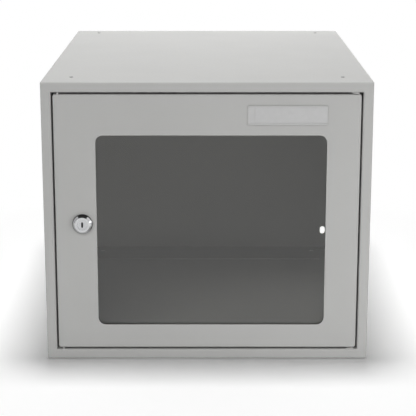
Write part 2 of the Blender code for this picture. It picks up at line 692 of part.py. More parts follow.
def make_label(door):
    # A channel for a card: a base with a rail folded over it at the top and the bottom.
    right = WINDOW_SIDES[1]
    left = right - LABEL_WIDTH
    top = DOOR_TOP - LABEL_FROM_TOP
    middle = top - LABEL_HEIGHT / 2
    half = LABEL_HEIGHT / 2
    back = FRONT - FIT
    base = back - LABEL_BASE
    under_rail = base - 2 * FIT - CARD_THICK
    over_rail = under_rail - LABEL_RAIL
    side = [(back, half), (over_rail, half), (over_rail, half - LABEL_RAIL_LIP),
            (under_rail, half - LABEL_RAIL_LIP), (under_rail, half - LABEL_RAIL_WALL),
            (base, half - LABEL_RAIL_WALL)]
    outline = side + [(y, -z) for y, z in reversed(side)]
    holder = prism([(y, middle + z) for y, z in outline], left, right, "X")
    add_piece("label_holder", make_mesh("label_holder", holder, DOOR_AXIS), "label_frame", door)
    card_half = half - LABEL_RAIL_WALL - FIT
    card = rectangle((base - FIT - CARD_THICK, middle - card_half), (base - FIT, middle + card_half))
    card_shape = prism(card, left + CARD_SHORTFALL, right - FIT, "X")
    add_piece("label_card", make_mesh("label_card", card_shape, DOOR_AXIS), "label_card", door)


def lock_loft(rows, closed=False):
    # A piece of the lock, from outlines about its axis and their depths.
    return loft([(moved(outline, (LOCK_X, MID_HEIGHT)), FRONT + depth) for outline, depth in rows],
                closed=closed)


def make_lock_housing(door):
    # A coned bezel before the skin and a flatted body through it, bored for the plug.
    bore = circle(LOCK_PLUG / 2 + FIT, LOCK_SIDES)
    rim = circle(LOCK_BEZEL / 2, LOCK_SIDES)
    body = flatted(LOCK_BODY / 2, LOCK_BODY / 2, LOCK_BODY_FLATS / 2, LOCK_SIDES)
    rows = [(bore, LOCK_BODY_END), (bore, -LOCK_PROUD), (circle(LOCK_FACE / 2, LOCK_SIDES), -LOCK_PROUD),
            (rim, -LOCK_BEZEL_FOOT), (rim, -FIT), (body, -FIT), (body, LOCK_BODY_END)]
    housing = lock_loft(rows, closed=True)
    add_piece("lock_housing", make_mesh("lock_housing", housing, DOOR_AXIS), "chrome", door)
    ring = [circle(LOCK_BODY / 2 + FIT, LOCK_SIDES), circle(LOCK_WASHER / 2, LOCK_SIDES)]
    front = DOOR_SHEET + FIT
    back = front + LOCK_WASHER_THICK
    washer = lock_loft([(ring[0], front), (ring[1], front), (ring[1], back), (ring[0], back)], closed=True)
    add_piece("lock_washer", make_mesh("lock_washer", washer, DOOR_AXIS), "zinc", door)
    nut = nut_shape(LOCK_NUT_ACROSS, LOCK_BODY + 2 * FIT, LOCK_NUT_THICK, LOCK_SIDES)
    seat = Vector((LOCK_X, FRONT + back + FIT, MID_HEIGHT)) - DOOR_AXIS
    add_piece("lock_nut", make_mesh("lock_nut", nut), "zinc", door, seat)


def make_lock_plug(lock):
    # The plug turns in the housing. Its square tail carries the cam and is bored for the bolt.
    round_body = circle(LOCK_PLUG / 2, LOCK_SIDES)
    tail = flatted(LOCK_TAIL_CORNER / 2, LOCK_TAIL / 2, LOCK_TAIL / 2, LOCK_SIDES)
    bolt_bore = circle(CAM_BOLT / 2 + FIT, LOCK_SIDES)
    tail_end = CAM_BACK - FIT
    bore_end = tail_end - CAM_BOLT_LENGTH - FIT
    rows = [(circle(LOCK_PLUG / 2 - LOCK_PLUG_CHAMFER, LOCK_SIDES), -LOCK_PROUD),
            (round_body, -LOCK_PROUD + LOCK_PLUG_CHAMFER), (round_body, LOCK_BODY_END),
            (tail, LOCK_BODY_END), (tail, tail_end), (bolt_bore, tail_end), (bolt_bore, bore_end)]
    plug = add_piece("lock_plug", make_mesh("lock_plug", lock_loft(rows), LOCK_AXIS), "satin_chrome", lock)
    keyway = rounded_rectangle((LOCK_X, MID_HEIGHT), (KEY_SLOT_WIDTH / 2, KEY_SLOT_HEIGHT / 2), FIT)
    cut(plug, [prism(keyway, FRONT - LOCK_PROUD - OVERRUN, FRONT - LOCK_PROUD + KEY_SLOT_DEPTH)], LOCK_AXIS)


def make_cam(lock):
    # The cam hangs down while unlocked and reaches behind the stop lip once turned.
    tip = CAM_TIP_WIDTH / 2
    lever = moved(joined_circles(CAM_WIDTH / 2, tip, CAM_REACH - tip, SMALL_SIDES), (LOCK_X, MID_HEIGHT))
    cam = add_piece("lock_cam", make_mesh("lock_cam", prism(lever, FRONT + CAM_FRONT, FRONT + CAM_BACK),
                                          LOCK_AXIS), "zinc", lock)
    square = moved(flatted(LOCK_TAIL_CORNER / 2 + FIT, LOCK_TAIL / 2 + FIT, LOCK_TAIL / 2 + FIT, LOCK_SIDES),
                   (LOCK_X, MID_HEIGHT))
    cut(cam, [prism(square, FRONT + CAM_FRONT - OVERRUN, FRONT + CAM_BACK + OVERRUN)], LOCK_AXIS)
    inner = circle(CAM_BOLT / 2 + FIT, HOLE_SIDES)
    outer = circle(CAM_WASHER / 2, HOLE_SIDES)
    front = CAM_BACK + FIT
    back = front + CAM_WASHER_THICK
    washer = lock_loft([(inner, front), (outer, front), (outer, back), (inner, back)], closed=True)
    add_piece("cam_washer", make_mesh("cam_washer", washer, LOCK_AXIS), "zinc", lock)
    head = hexagon(CAM_BOLT_HEAD_ACROSS, SMALL_SIDES * 2)
    shank = circle(CAM_BOLT / 2, SMALL_SIDES * 2)
    head_front = back + FIT
    rows = [(shank, CAM_BACK - CAM_BOLT_LENGTH), (shank, head_front), (head, head_front),
            (head, head_front + CAM_BOLT_HEAD_THICK)]
    add_piece("cam_bolt", make_mesh("cam_bolt", lock_loft(rows), LOCK_AXIS), "zinc", lock)


def build():
    clear_scene()
    body = add_axis("carcass", None, HERE, HERE)
    door = add_axis("door_axis", body, DOOR_AXIS, HERE)
    lock = add_axis("lock_axis", door, LOCK_AXIS, DOOR_AXIS)
    make_body_wrap(body)
    make_back_panel(body)
    make_pivots(body, door)
    make_guides(body)
    make_buffers(body)
    make_door_skin(door)
    make_window(door)
    make_strips(door)
    make_label(door)
    make_lock_housing(door)
    make_lock_plug(lock)
    make_cam(lock)


build()
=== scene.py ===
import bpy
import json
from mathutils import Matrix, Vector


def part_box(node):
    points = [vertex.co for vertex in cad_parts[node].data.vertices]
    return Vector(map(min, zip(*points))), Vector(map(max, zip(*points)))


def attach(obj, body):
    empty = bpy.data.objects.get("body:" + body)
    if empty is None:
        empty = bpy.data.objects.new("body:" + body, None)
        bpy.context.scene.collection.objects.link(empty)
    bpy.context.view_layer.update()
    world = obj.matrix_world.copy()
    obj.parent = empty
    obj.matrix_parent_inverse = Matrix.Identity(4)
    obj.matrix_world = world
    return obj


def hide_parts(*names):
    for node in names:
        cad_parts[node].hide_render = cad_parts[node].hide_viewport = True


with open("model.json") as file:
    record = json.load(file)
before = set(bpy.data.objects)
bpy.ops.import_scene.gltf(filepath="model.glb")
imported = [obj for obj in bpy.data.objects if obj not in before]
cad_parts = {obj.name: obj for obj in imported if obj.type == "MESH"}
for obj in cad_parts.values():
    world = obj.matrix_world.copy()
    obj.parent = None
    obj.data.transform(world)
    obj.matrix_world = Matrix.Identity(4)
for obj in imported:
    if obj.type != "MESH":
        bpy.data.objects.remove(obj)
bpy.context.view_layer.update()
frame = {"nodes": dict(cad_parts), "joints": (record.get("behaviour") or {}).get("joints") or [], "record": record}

import json
import bpy
import bmesh
import numpy as np
from math import pi, radians

print("frame loaded:", len(frame["nodes"]), "nodes")

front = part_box("body_wrap")[0].y                      # the plane of the front frame
doorMiddle = (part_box("door_skin")[0].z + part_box("door_skin")[1].z) / 2
jointPlace = {joint["name"]: joint["pos_m"] for joint in frame["joints"]}
lockX, lockZ = jointPlace["lock_turn"][0], jointPlace["lock_turn"][2]
hingeX, hingeY = jointPlace["door_swing"][:2]


# Surfaces

def gridMesh(name, points, loopRows=False, loopColumns=True, capEnds=False, sharp=35):
    # points is (rows, columns, 3). Each cell of the grid is one face between neighbouring rows and
    # columns, rows that shrink to a point become a pole, and a cap is one flat face on an end row.
    rows, columns = points.shape[:2]
    row = np.arange(rows if loopRows else rows - 1)[:, None]
    column = np.arange(columns if loopColumns else columns - 1)[None, :]
    nextRow, nextColumn = (row + 1) % rows, (column + 1) % columns
    cells = np.stack([row * columns + column, row * columns + nextColumn,
                      nextRow * columns + nextColumn, nextRow * columns + column], -1)
    faces = cells.reshape(-1, 4).tolist()
    if capEnds:
        ring = np.arange(columns)
        faces += [ring.tolist(), (ring + (rows - 1) * columns).tolist()]
    mesh = bpy.data.meshes.new(name)
    mesh.from_pydata(points.reshape(-1, 3).tolist(), [], faces)
    work = bmesh.new()
    work.from_mesh(mesh)
    bmesh.ops.remove_doubles(work, verts=work.verts, dist=1e-7)
    bmesh.ops.dissolve_degenerate(work, edges=work.edges, dist=1e-8)
    bmesh.ops.recalc_face_normals(work, faces=work.faces)
    work.to_mesh(mesh)
    work.free()
    mesh.shade_smooth()
    mesh.set_sharp_from_angle(angle=radians(sharp))
    return mesh


def addPiece(name, mesh, finish, body, node):
    # A finish has the name of the slot that it fills.
    piece = bpy.data.objects.new(name, mesh)
    bpy.context.scene.collection.objects.link(piece)
    mesh.materials.append(finishes[finish])
    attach(piece, body)
    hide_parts(node)


def depthsOf(node):
    # Where a solid begins and ends behind the front frame.
    return [corner.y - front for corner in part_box(node)]


def middleOf(node):
    low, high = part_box(node)
    return (low.x + high.x) / 2, (low.z + high.z) / 2


def heightsOf(node, flip):
    # Where a solid begins and ends above the door's middle, or below it where flip is -1.
    return sorted(flip * (corner.z - doorMiddle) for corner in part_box(node))


def angles(columns):
    return (np.arange(columns) * 2 * pi / columns)[None, :]


def aroundY(radius, depth, x, z):
    # Radius and depth are (rows, columns) or broadcast to it, and a column is one angle about an axis
    # along Y: x + radius * cos, front + depth, z + radius * sin.
    radius, depth = np.broadcast_arrays(radius, depth)
    angle = angles(radius.shape[1])
    return np.stack([x + radius * np.cos(angle), front + depth, z + radius * np.sin(angle)], -1)


def aroundZ(radius, height, x, y):
    # The same about an upright axis.
    radius, height = np.broadcast_arrays(radius, height)
    angle = angles(radius.shape[1])
    return np.stack([x + radius * np.cos(angle), y + radius * np.sin(angle), height + 0 * angle], -1)


def turnedRows(profile, columns):
    # A profile of (radius, along) pairs as two arrays with one column per angle.
    profile = np.asarray(profile, float)
    return profile[:, :1] + np.zeros((1, columns)), profile[:, 1:] + np.zeros((1, columns))


def rounded(points, radius, steps=5, closed=True):
    # Each corner of the outline becomes an arc: its centre lies one radius to the side of the incoming
    # edge, and its points are centre + radius * (edge * sin(a) - side * cos(a)), a from 0 to the turn.
    points = np.asarray(points, float)
    before = points - np.roll(points, 1, 0)
    after = np.roll(points, -1, 0) - points
    lengthBefore = np.linalg.norm(before, axis=1)
    lengthAfter = np.linalg.norm(after, axis=1)
    before /= lengthBefore[:, None]
    after /= lengthAfter[:, None]
    cross = before[:, 0] * after[:, 1] - before[:, 1] * after[:, 0]
    turn = np.arctan2(np.abs(cross), (before * after).sum(1))
    mostReach = 0.49 * np.minimum(lengthBefore, lengthAfter)     # short of half an edge
    reach = np.minimum(radius * np.tan(turn / 2), mostReach)
    if not closed:
        reach[[0, -1]] = 0
    size = reach / np.maximum(np.tan(turn / 2), 1e-9)
    side = np.stack([-before[:, 1], before[:, 0]], 1) * np.sign(cross)[:, None]
    centre = points - before * reach[:, None] + side * size[:, None]
    a = turn[:, None, None] * np.linspace(0, 1, steps + 1)[None, :, None]
    arcs = centre[:, None] + size[:, None, None] * (before[:, None] * np.sin(a) - side[:, None] * np.cos(a))
    return arcs.reshape(-1, 2)


def threadRadius(angle, along, crest, depth, pitch):
    # A helix: the radius falls from the crest by a triangle wave of the distance along less the share
    # of a turn, so each turn moves the groove on by one pitch. The wave is cut flat at crest and root.
    phase = (along / pitch - angle / (2 * pi)) % 1
    return crest - depth * np.clip(1.25 - 2.5 * np.abs(phase - 0.5), 0, 1)


def endChamfer(toEnd, size):
    # How much radius is lost within one chamfer of a free end.
    return np.clip(1 - toEnd / size, 0, 1) * size


def hexReach(angle, across):
    # Distance from the middle to the side of a hexagon at each angle.
    offFlat = (angle + pi / 6) % (pi / 3) - pi / 6
    return across / 2 / np.cos(offFlat)


# Shader nodes

def put(tree, kind, values=None, **options):
    # A node with its options set, and each input given a value or joined to the output given for it.
    node = tree.nodes.new(kind)
    for option, value in options.items():
        setattr(node, option, value)
    for socket, value in (values or {}).items():
        if isinstance(value, bpy.types.NodeSocket):
            tree.links.new(value, node.inputs[socket])
        else:
            node.inputs[socket].default_value = value
    return node


def maths(tree, operation, *terms):
    return put(tree, "ShaderNodeMath", dict(enumerate(terms)), operation=operation).outputs[0]


def span(tree, value, low, high, toLow, toHigh):
    # Carries a value from one range to another.
    return put(tree, "ShaderNodeMapRange", {"Value": value, "From Min": low, "From Max": high,
                                            "To Min": toLow, "To Max": toHigh}).outputs["Result"]


def partsOf(tree, vector):
    return put(tree, "ShaderNodeSeparateXYZ", {0: vector}).outputs


def lengthOf(tree, vector):
    return put(tree, "ShaderNodeVectorMath", {0: vector}, operation="LENGTH").outputs["Value"]


def agreement(tree, first, second):
    # One where two directions are the same, less as they part.
    return put(tree, "ShaderNodeVectorMath", {0: first, 1: second}, operation="DOT_PRODUCT").outputs["Value"]


def fromAxis(tree, vector):
    # Distance from the Y axis.
    parts = partsOf(tree, vector)
    return lengthOf(tree, put(tree, "ShaderNodeCombineXYZ", {"X": parts["X"], "Z": parts["Z"]}).outputs[0])


def noise(tree, vector, scale, **values):
    return put(tree, "ShaderNodeTexNoise", {"Vector": vector, "Scale": scale, **values}).outputs[0]


def mixNumber(tree, factor, first, second):
    return put(tree, "ShaderNodeMix", {0: factor, 2: first, 3: second}, data_type="FLOAT").outputs[0]


def blendColour(tree, factor, first, second):
    first, second = (colour if isinstance(colour, bpy.types.NodeSocket) else (*colour, 1)
                     for colour in (first, second))
    return put(tree, "ShaderNodeMix", {0: factor, 6: first, 7: second}, data_type="RGBA").outputs[2]


def overlay(tree, mask, share, colour, second):
    # Lays a second colour over the first at a share of the mask.
    return blendColour(tree, maths(tree, "MULTIPLY", mask, share), colour, second)


def bump(tree, height, distance, shader):
    node = put(tree, "ShaderNodeBump", {"Height": height, "Distance": distance, "Strength": 1.0})
    tree.links.new(node.outputs["Normal"], shader.inputs["Normal"])


# Shader groups

numberSocket, vectorSocket, colourSocket = "NodeSocketFloat", "NodeSocketVector", "NodeSocketColor"


def makeGroup(name, inputs, outputs):
    # Every group takes a Vector; the other inputs are numbers with a usual value.
    tree = bpy.data.node_groups.new(name, "ShaderNodeTree")
    tree.interface.new_socket("Vector", in_out="INPUT", socket_type=vectorSocket)
    for label, value in inputs.items():
        tree.interface.new_socket(label, in_out="INPUT", socket_type=numberSocket).default_value = value
    for label, kind in outputs.items():
        tree.interface.new_socket(label, in_out="OUTPUT", socket_type=kind)
    return tree, put(tree, "NodeGroupInput").outputs, put(tree, "NodeGroupOutput").inputs


def makeGrain():
    # Two sizes of fine noise make the height, and a broad one the shade.
    tree, given, result = makeGroup("fineGrain", {"Scale": 900.0, "Broad Share": 0.012},
                                    {"Height": numberSocket, "Shade": numberSocket})
    softScale = maths(tree, "MULTIPLY", given["Scale"], 0.37)
    broadScale = maths(tree, "MULTIPLY", given["Scale"], given["Broad Share"])
    fine = noise(tree, given["Vector"], given["Scale"], Detail=2.0, Roughness=0.45)
    soft = noise(tree, given["Vector"], softScale, Detail=1.0)
    broad = noise(tree, given["Vector"], broadScale, Detail=3.0)
    height = maths(tree, "MULTIPLY_ADD", soft, 0.6, maths(tree, "MULTIPLY", fine, 0.4))
    tree.links.new(height, result["Height"])
    tree.links.new(span(tree, broad, 0.3, 0.7, 0.0, 1.0), result["Shade"])
    return tree


def makeEdgeWear():
    # Where a rounded normal leaves the true one there is an edge; noise breaks the line up.
    tree, given, result = makeGroup("edgeWear", {"Reach": 0.0006, "Breakup": 160.0}, {"Mask": numberSocket})
    bevel = put(tree, "ShaderNodeBevel", {"Radius": given["Reach"]}, samples=4)
    geometry = put(tree, "ShaderNodeNewGeometry")
    facing = agreement(tree, bevel.outputs[0], geometry.outputs["Normal"])
    edge = span(tree, facing, 0.995, 0.85, 0.0, 1.0)
    patches = noise(tree, given["Vector"], given["Breakup"], Detail=4.0)
    tree.links.new(maths(tree, "MULTIPLY", edge, span(tree, patches, 0.35, 0.65, 0.15, 1.0)), result["Mask"])
    return tree


def makeDust():
    # Dust lies on what faces up, in soft patches.
    tree, given, result = makeGroup("restingDust", {}, {"Mask": numberSocket})
    geometry = put(tree, "ShaderNodeNewGeometry")
    level = span(tree, partsOf(tree, geometry.outputs["Normal"])["Z"], 0.55, 1.0, 0.0, 1.0)
    patches = noise(tree, given["Vector"], 14.0, Detail=5.0)
    tree.links.new(maths(tree, "MULTIPLY", level, span(tree, patches, 0.3, 0.75, 0.2, 1.0)), result["Mask"])
    return tree


def makeTurningMarks():
    # Rings about the Y axis of the vector given: noise that reads only the distance from that axis.
    tree, given, result = makeGroup("turningMarks", {"Pitch": 0.00012},
                                    {"Height": numberSocket, "Shade": numberSocket})
    turns = maths(tree, "DIVIDE", fromAxis(tree, given["Vector"]), given["Pitch"])
    rings = put(tree, "ShaderNodeTexNoise", {"W": turns, "Scale": 1.0, "Detail": 2.0}, noise_dimensions="1D")
    tree.links.new(rings.outputs[0], result["Height"])
    tree.links.new(span(tree, rings.outputs[0], 0.3, 0.7, 0.0, 1.0), result["Shade"])
    return tree


bloomColours = ((0.32, (0.50, 0.535, 0.60, 1)), (0.5, (0.57, 0.575, 0.58, 1)), (0.68, (0.62, 0.595, 0.53, 1)))


def makeBloom():
    # The faint blue and straw patches of a passivated plating, and its fine crystals.
    tree, given, result = makeGroup("platedBloom", {"Scale": 90.0},
                                    {"Tint": colourSocket, "Shade": numberSocket, "Height": numberSocket})
    cloud = noise(tree, given["Vector"], given["Scale"], Detail=3.0, Distortion=0.8)
    ramp = put(tree, "ShaderNodeValToRGB", {"Fac": cloud})
    ramp.color_ramp.elements.new(0.5)
    for stop, (position, colour) in zip(ramp.color_ramp.elements, bloomColours):
        stop.position, stop.color = position, colour
    crystals = put(tree, "ShaderNodeTexVoronoi", {"Vector": given["Vector"],
                                                  "Scale": maths(tree, "MULTIPLY", given["Scale"], 14.0)})
    tree.links.new(ramp.outputs["Color"], result["Tint"])
    tree.links.new(cloud, result["Shade"])
    tree.links.new(crystals.outputs["Distance"], result["Height"])
    return tree


fineGrain = makeGrain()
edgeWear = makeEdgeWear()
restingDust = makeDust()
turningMarks = makeTurningMarks()
platedBloom = makeBloom()
print("shader groups made")


# Finishes

def startMaterial(name):
    material = bpy.data.materials.new(name)
    material.use_nodes = True
    tree = material.node_tree
    return material, tree, tree.nodes["Principled BSDF"], put(tree, "ShaderNodeTexCoord").outputs["Object"]


def useGroup(tree, group, place, values):
    return put(tree, "ShaderNodeGroup", {"Vector": place, **values}, node_tree=group).outputs


powder = dict(light=(0.409, 0.409, 0.401), dark=(0.396, 0.396, 0.388), edge=(0.45, 0.45, 0.44), edgeShare=0.2,
              edgeReach=0.0007, dust=(0.50, 0.50, 0.48), dustShare=0.06, grain=850.0, depth=0.000016,
              rough=(0.44, 0.52), edgeShine=-0.10, dustDull=0.06)
# In the walls of the stacking holes, top is a painted shade and floor a painted light; between is the height that
# parts them.
stackHoles = dict(across=0.166, depths=(-0.210, 0.226), rim=(0.00250, 0.00258), top=(0.03, 0.03, 0.03),
                  floor=(0.90, 0.90, 0.88), between=(0.1, 0.2))


def paintedHoleMask(tree, parts):
    # One within the rim of each stacking hole: the distance is that of (|x|, y) from a hole's middle.
    beside = maths(tree, "SUBTRACT", maths(tree, "ABSOLUTE", parts["X"]), stackHoles["across"])
    masks = []
    for depth in stackHoles["depths"]:
        behind = maths(tree, "SUBTRACT", parts["Y"], depth)
        distance = lengthOf(tree, put(tree, "ShaderNodeCombineXYZ", {"X": beside, "Y": behind}).outputs[0])
        masks.append(span(tree, distance, *stackHoles["rim"], 1.0, 0.0))
    return maths(tree, "MAXIMUM", *masks)


def powderCoat():
    # Orange peel in the bump, a hardly visible cloud in the colour, thinner and shinier on the folds,
    # the walls of the stacking holes painted near black in the top as painted shade, and painted pale in the floor
    # as painted light.
    material, tree, shader, place = startMaterial("powderCoat")
    grain = useGroup(tree, fineGrain, place, {"Scale": powder["grain"]})
    wear = useGroup(tree, edgeWear, place, {"Reach": powder["edgeReach"]})["Mask"]
    dust = useGroup(tree, restingDust, place, {})["Mask"]
    colour = blendColour(tree, grain["Shade"], powder["dark"], powder["light"])
    colour = overlay(tree, wear, powder["edgeShare"], colour, powder["edge"])
    colour = overlay(tree, dust, powder["dustShare"], colour, powder["dust"])
    parts = partsOf(tree, place)
    # The hole walls are painted: near black in the top as painted shade, pale in the floor as painted light.
    upper = span(tree, parts["Z"], *stackHoles["between"], 0.0, 1.0)
    wall = blendColour(tree, upper, stackHoles["floor"], stackHoles["top"])
    colour = blendColour(tree, paintedHoleMask(tree, parts), colour, wall)
    tree.links.new(colour, shader.inputs["Base Color"])
    rough = span(tree, grain["Height"], 0.3, 0.7, *powder["rough"])
    rough = maths(tree, "MULTIPLY_ADD", wear, powder["edgeShine"], rough)
    tree.links.new(maths(tree, "MULTIPLY_ADD", dust, powder["dustDull"], rough), shader.inputs["Roughness"])
    bump(tree, grain["Height"], powder["depth"], shader)
    return material


zinc = dict(bloom=90.0, edge=(0.70, 0.70, 0.70), edgeShare=0.5, edgeReach=0.0003, rough=(0.28, 0.42),
            depth=0.000006)


def zincPlate():
    # Bloom in the colour and gloss, crystals in the bump, bright where edges are rubbed.
    material, tree, shader, place = startMaterial("zincPlate")
    bloom = useGroup(tree, platedBloom, place, {"Scale": zinc["bloom"]})
    wear = useGroup(tree, edgeWear, place, {"Reach": zinc["edgeReach"]})["Mask"]
    tree.links.new(overlay(tree, wear, zinc["edgeShare"], bloom["Tint"], zinc["edge"]),
                   shader.inputs["Base Color"])
    tree.links.new(span(tree, bloom["Shade"], 0.3, 0.7, *zinc["rough"]), shader.inputs["Roughness"])
    shader.inputs["Metallic"].default_value = 1.0
    bump(tree, bloom["Height"], zinc["depth"], shader)
    return material


def aboutLock(tree, place):
    return put(tree, "ShaderNodeMapping", {"Vector": place, "Location": (-lockX, 0, -lockZ)}).outputs[0]


# Each roughness here is (swing with the marks, least).
chrome = dict(dark=(0.70, 0.71, 0.725), light=(0.76, 0.765, 0.775), pitch=0.00010, facing=(0.93, 0.99),
              coneRough=(0.02, 0.06), faceRough=(0.06, 0.25), rim=(0.0114, 0.0120), grime=(0.10, 0.10, 0.10),
              depth=0.0000012)


def polishedChrome():
    # Mirror bright on the cone, satin on the flat face inside it, and darkened at the rim by painted shade.
    material, tree, shader, place = startMaterial("polishedChrome")
    centred = aboutLock(tree, place)
    marks = useGroup(tree, turningMarks, centred, {"Pitch": chrome["pitch"]})
    geometry = put(tree, "ShaderNodeNewGeometry")
    facing = agreement(tree, geometry.outputs["Normal"], (0, -1, 0))
    flat = span(tree, facing, *chrome["facing"], 0.0, 1.0)
    colour = blendColour(tree, marks["Shade"], chrome["dark"], chrome["light"])
    # Past rim the colour goes to near black: painted shade at the foot of the bezel, where it meets the door.
    rim = span(tree, fromAxis(tree, centred), *chrome["rim"], 0.0, 1.0)
    tree.links.new(blendColour(tree, rim, colour, chrome["grime"]), shader.inputs["Base Color"])
    cone = maths(tree, "MULTIPLY_ADD", marks["Shade"], *chrome["coneRough"])
    face = maths(tree, "MULTIPLY_ADD", marks["Shade"], *chrome["faceRough"])
    tree.links.new(mixNumber(tree, flat, cone, face), shader.inputs["Roughness"])
    shader.inputs["Metallic"].default_value = 1.0
    bump(tree, marks["Height"], chrome["depth"], shader)
    return material


# slot is the near black of the painted shade inside the key slot, which begins at the depths in slotFrom.
satin = dict(dark=(0.68, 0.69, 0.705), light=(0.74, 0.745, 0.76), pitch=0.00014, edge=(0.86, 0.86, 0.87),
             edgeShare=0.6, edgeReach=0.0003, breakup=900.0, slot=(0.03, 0.03, 0.03),
             slotFrom=(-0.0058, -0.0050), rough=(0.26, 0.36), depth=0.000003)


def satinChrome():
    # Turned face with bright rubbed edges, and a key slot painted near black, as painted shade, from just below
    # its chamfer.
    material, tree, shader, place = startMaterial("satinChrome")
    marks = useGroup(tree, turningMarks, aboutLock(tree, place), {"Pitch": satin["pitch"]})
    wear = useGroup(tree, edgeWear, place, {"Reach": satin["edgeReach"], "Breakup": satin["breakup"]})["Mask"]
    colour = blendColour(tree, marks["Shade"], satin["dark"], satin["light"])
    colour = overlay(tree, wear, satin["edgeShare"], colour, satin["edge"])
    # Behind slotFrom the slot is painted near black: painted shade in the keyway.
    paintedSlotShade = span(tree, partsOf(tree, place)["Y"], *(front + depth for depth in satin["slotFrom"]), 0.0, 1.0)
    tree.links.new(blendColour(tree, paintedSlotShade, colour, satin["slot"]), shader.inputs["Base Color"])
    tree.links.new(span(tree, marks["Shade"], 0.0, 1.0, *satin["rough"]), shader.inputs["Roughness"])
    shader.inputs["Metallic"].default_value = 1.0
    bump(tree, marks["Height"], satin["depth"], shader)
    return material


sheet = dict(tint=(0.99, 0.99, 0.972, 1), dimmed=(0.722, 0.722, 0.708, 1), ior=1.49, rough=(0.0, 0.02),
             grain=60.0, broadShare=0.2)


def clearSheet():
    # Clear acrylic. Shadow and diffuse rays pass straight through, dimmed, so that the inside is lit.
    material, tree, shader, place = startMaterial("clearSheet")
    grain = useGroup(tree, fineGrain, place, {"Scale": sheet["grain"], "Broad Share": sheet["broadShare"]})
    shader.inputs["Base Color"].default_value = sheet["tint"]
    shader.inputs["Transmission Weight"].default_value = 1.0
    shader.inputs["IOR"].default_value = sheet["ior"]
    tree.links.new(span(tree, grain["Shade"], 0.0, 1.0, *sheet["rough"]), shader.inputs["Roughness"])
    path = put(tree, "ShaderNodeLightPath").outputs
    through = maths(tree, "MAXIMUM", path["Is Shadow Ray"], path["Is Diffuse Ray"])
    clear = put(tree, "ShaderNodeBsdfTransparent", {"Color": sheet["dimmed"]})
    mix = put(tree, "ShaderNodeMixShader", {0: through, 1: shader.outputs[0], 2: clear.outputs[0]})
    tree.links.new(mix.outputs[0], tree.nodes["Material Output"].inputs["Surface"])
    return material


plastics = {
    "black_rubber": dict(name="blackRubber", dark=(0.010, 0.010, 0.011), light=(0.018, 0.018, 0.019),
                         edge=(0.04, 0.04, 0.04), rough=0.72, grain=1400.0, depth=0.000012),
    "white_nylon": dict(name="whiteNylon", dark=(0.64, 0.63, 0.60), light=(0.70, 0.69, 0.66),
                        edge=(0.75, 0.74, 0.71), rough=0.48, grain=700.0, depth=0.000005),
    "label_frame": dict(name="holderPlastic", dark=(0.446, 0.446, 0.445), light=(0.463, 0.463, 0.462),
                        edge=(0.55, 0.55, 0.55), rough=0.38, grain=1000.0, depth=0.000004),
    "label_card": dict(name="blankCard", dark=(0.444, 0.444, 0.444), light=(0.464, 0.464, 0.464),
                       edge=(0.52, 0.52, 0.52), rough=0.80, grain=2600.0, depth=0.000006),
}
plasticShares = dict(broad=0.06, edge=0.3, edgeReach=0.0003, roughSwing=0.04)


def grainyPlastic(name, dark, light, edge, rough, grain, depth):
    # Moulded rubber, nylon, plastic and card differ only in their colours, gloss and grain.
    s = plasticShares
    material, tree, shader, place = startMaterial(name)
    surface = useGroup(tree, fineGrain, place, {"Scale": grain, "Broad Share": s["broad"]})
    wear = useGroup(tree, edgeWear, place, {"Reach": s["edgeReach"]})["Mask"]
    colour = blendColour(tree, surface["Shade"], dark, light)
    tree.links.new(overlay(tree, wear, s["edge"], colour, edge), shader.inputs["Base Color"])
    tree.links.new(span(tree, surface["Height"], 0.3, 0.7, rough - s["roughSwing"], rough + s["roughSwing"]),
                   shader.inputs["Roughness"])
    bump(tree, surface["Height"], depth, shader)
    return material


finishes = {
    "powder_coat": powderCoat(),
    "zinc": zincPlate(),
    "chrome": polishedChrome(),
    "satin_chrome": satinChrome(),
    "clear_sheet": clearSheet(),
    **{slot: grainyPlastic(**look) for slot, look in plastics.items()},
}
for entry in frame["record"]["subparts"]:
    cadNode = frame["nodes"][entry["node"]]
    if not cadNode.data.materials:
        cadNode.data.materials.append(None)
    for slot in cadNode.material_slots:
        slot.material = finishes[entry["material_slot"]]


# Lock

lockSizes = dict(boreRadius=0.00622, boreLead=0.0012, faceRadius=0.0091, rimRadius=0.0124, proud=0.0062,
                 coneDepth=0.0036, soften=(0.0001, 0.0001, 0.0003, 0.0012, 0.0002, 0.0002), seat=-0.0003,
                 bodyRadius=0.0092, flatHalf=0.0082, bodyEnd=0.0220, pitch=0.0010, threadDepth=0.00055,
                 chamfer=0.0006, columns=96, rows=190)


def lockHousing():
    # One closed profile carried round the lock's axis: bore, flat face, cone, wall and threaded body.
    # On the body the radius is also limited by the two flats: half flat / |sin(angle)|.
    s = lockSizes
    face = -s["proud"]
    head = rounded([(s["boreRadius"], face + s["boreLead"]), (s["boreRadius"], face), (s["faceRadius"], face),
                    (s["rimRadius"], face + s["coneDepth"]), (s["rimRadius"], s["seat"]),
                    (s["bodyRadius"], s["seat"])], np.array(s["soften"]), 6, closed=False)
    radius, depth = turnedRows(np.vstack([[(s["boreRadius"], s["bodyEnd"])], head]), s["columns"])
    along = np.linspace(s["seat"], s["bodyEnd"], s["rows"])[:, None]
    angle = angles(s["columns"])
    thread = threadRadius(angle, along, s["bodyRadius"], s["threadDepth"], s["pitch"])
    thread = thread - endChamfer(s["bodyEnd"] - along, s["chamfer"])
    thread = np.minimum(thread, s["flatHalf"] / np.maximum(np.abs(np.sin(angle)), 1e-6))
    radius = np.vstack([radius, thread])
    depth = np.vstack([depth, along + 0 * angle])
    return gridMesh("lockHousing", aroundY(radius, depth, lockX, lockZ), loopRows=True, sharp=40)


plugSizes = dict(radius=0.00612, slotWidth=0.0022, slotHeight=0.0064, slotDepth=0.0090, chamfer=0.0001,
                 slotChamfer=0.00025, ringRadius=0.0045, ringWidth=0.0004, ringDepth=0.00006, tailHalf=0.0036,
                 tailCorner=0.0044, tailEnd=0.0240, boltRadius=0.0027, boltBoreEnd=0.0127, columns=96)


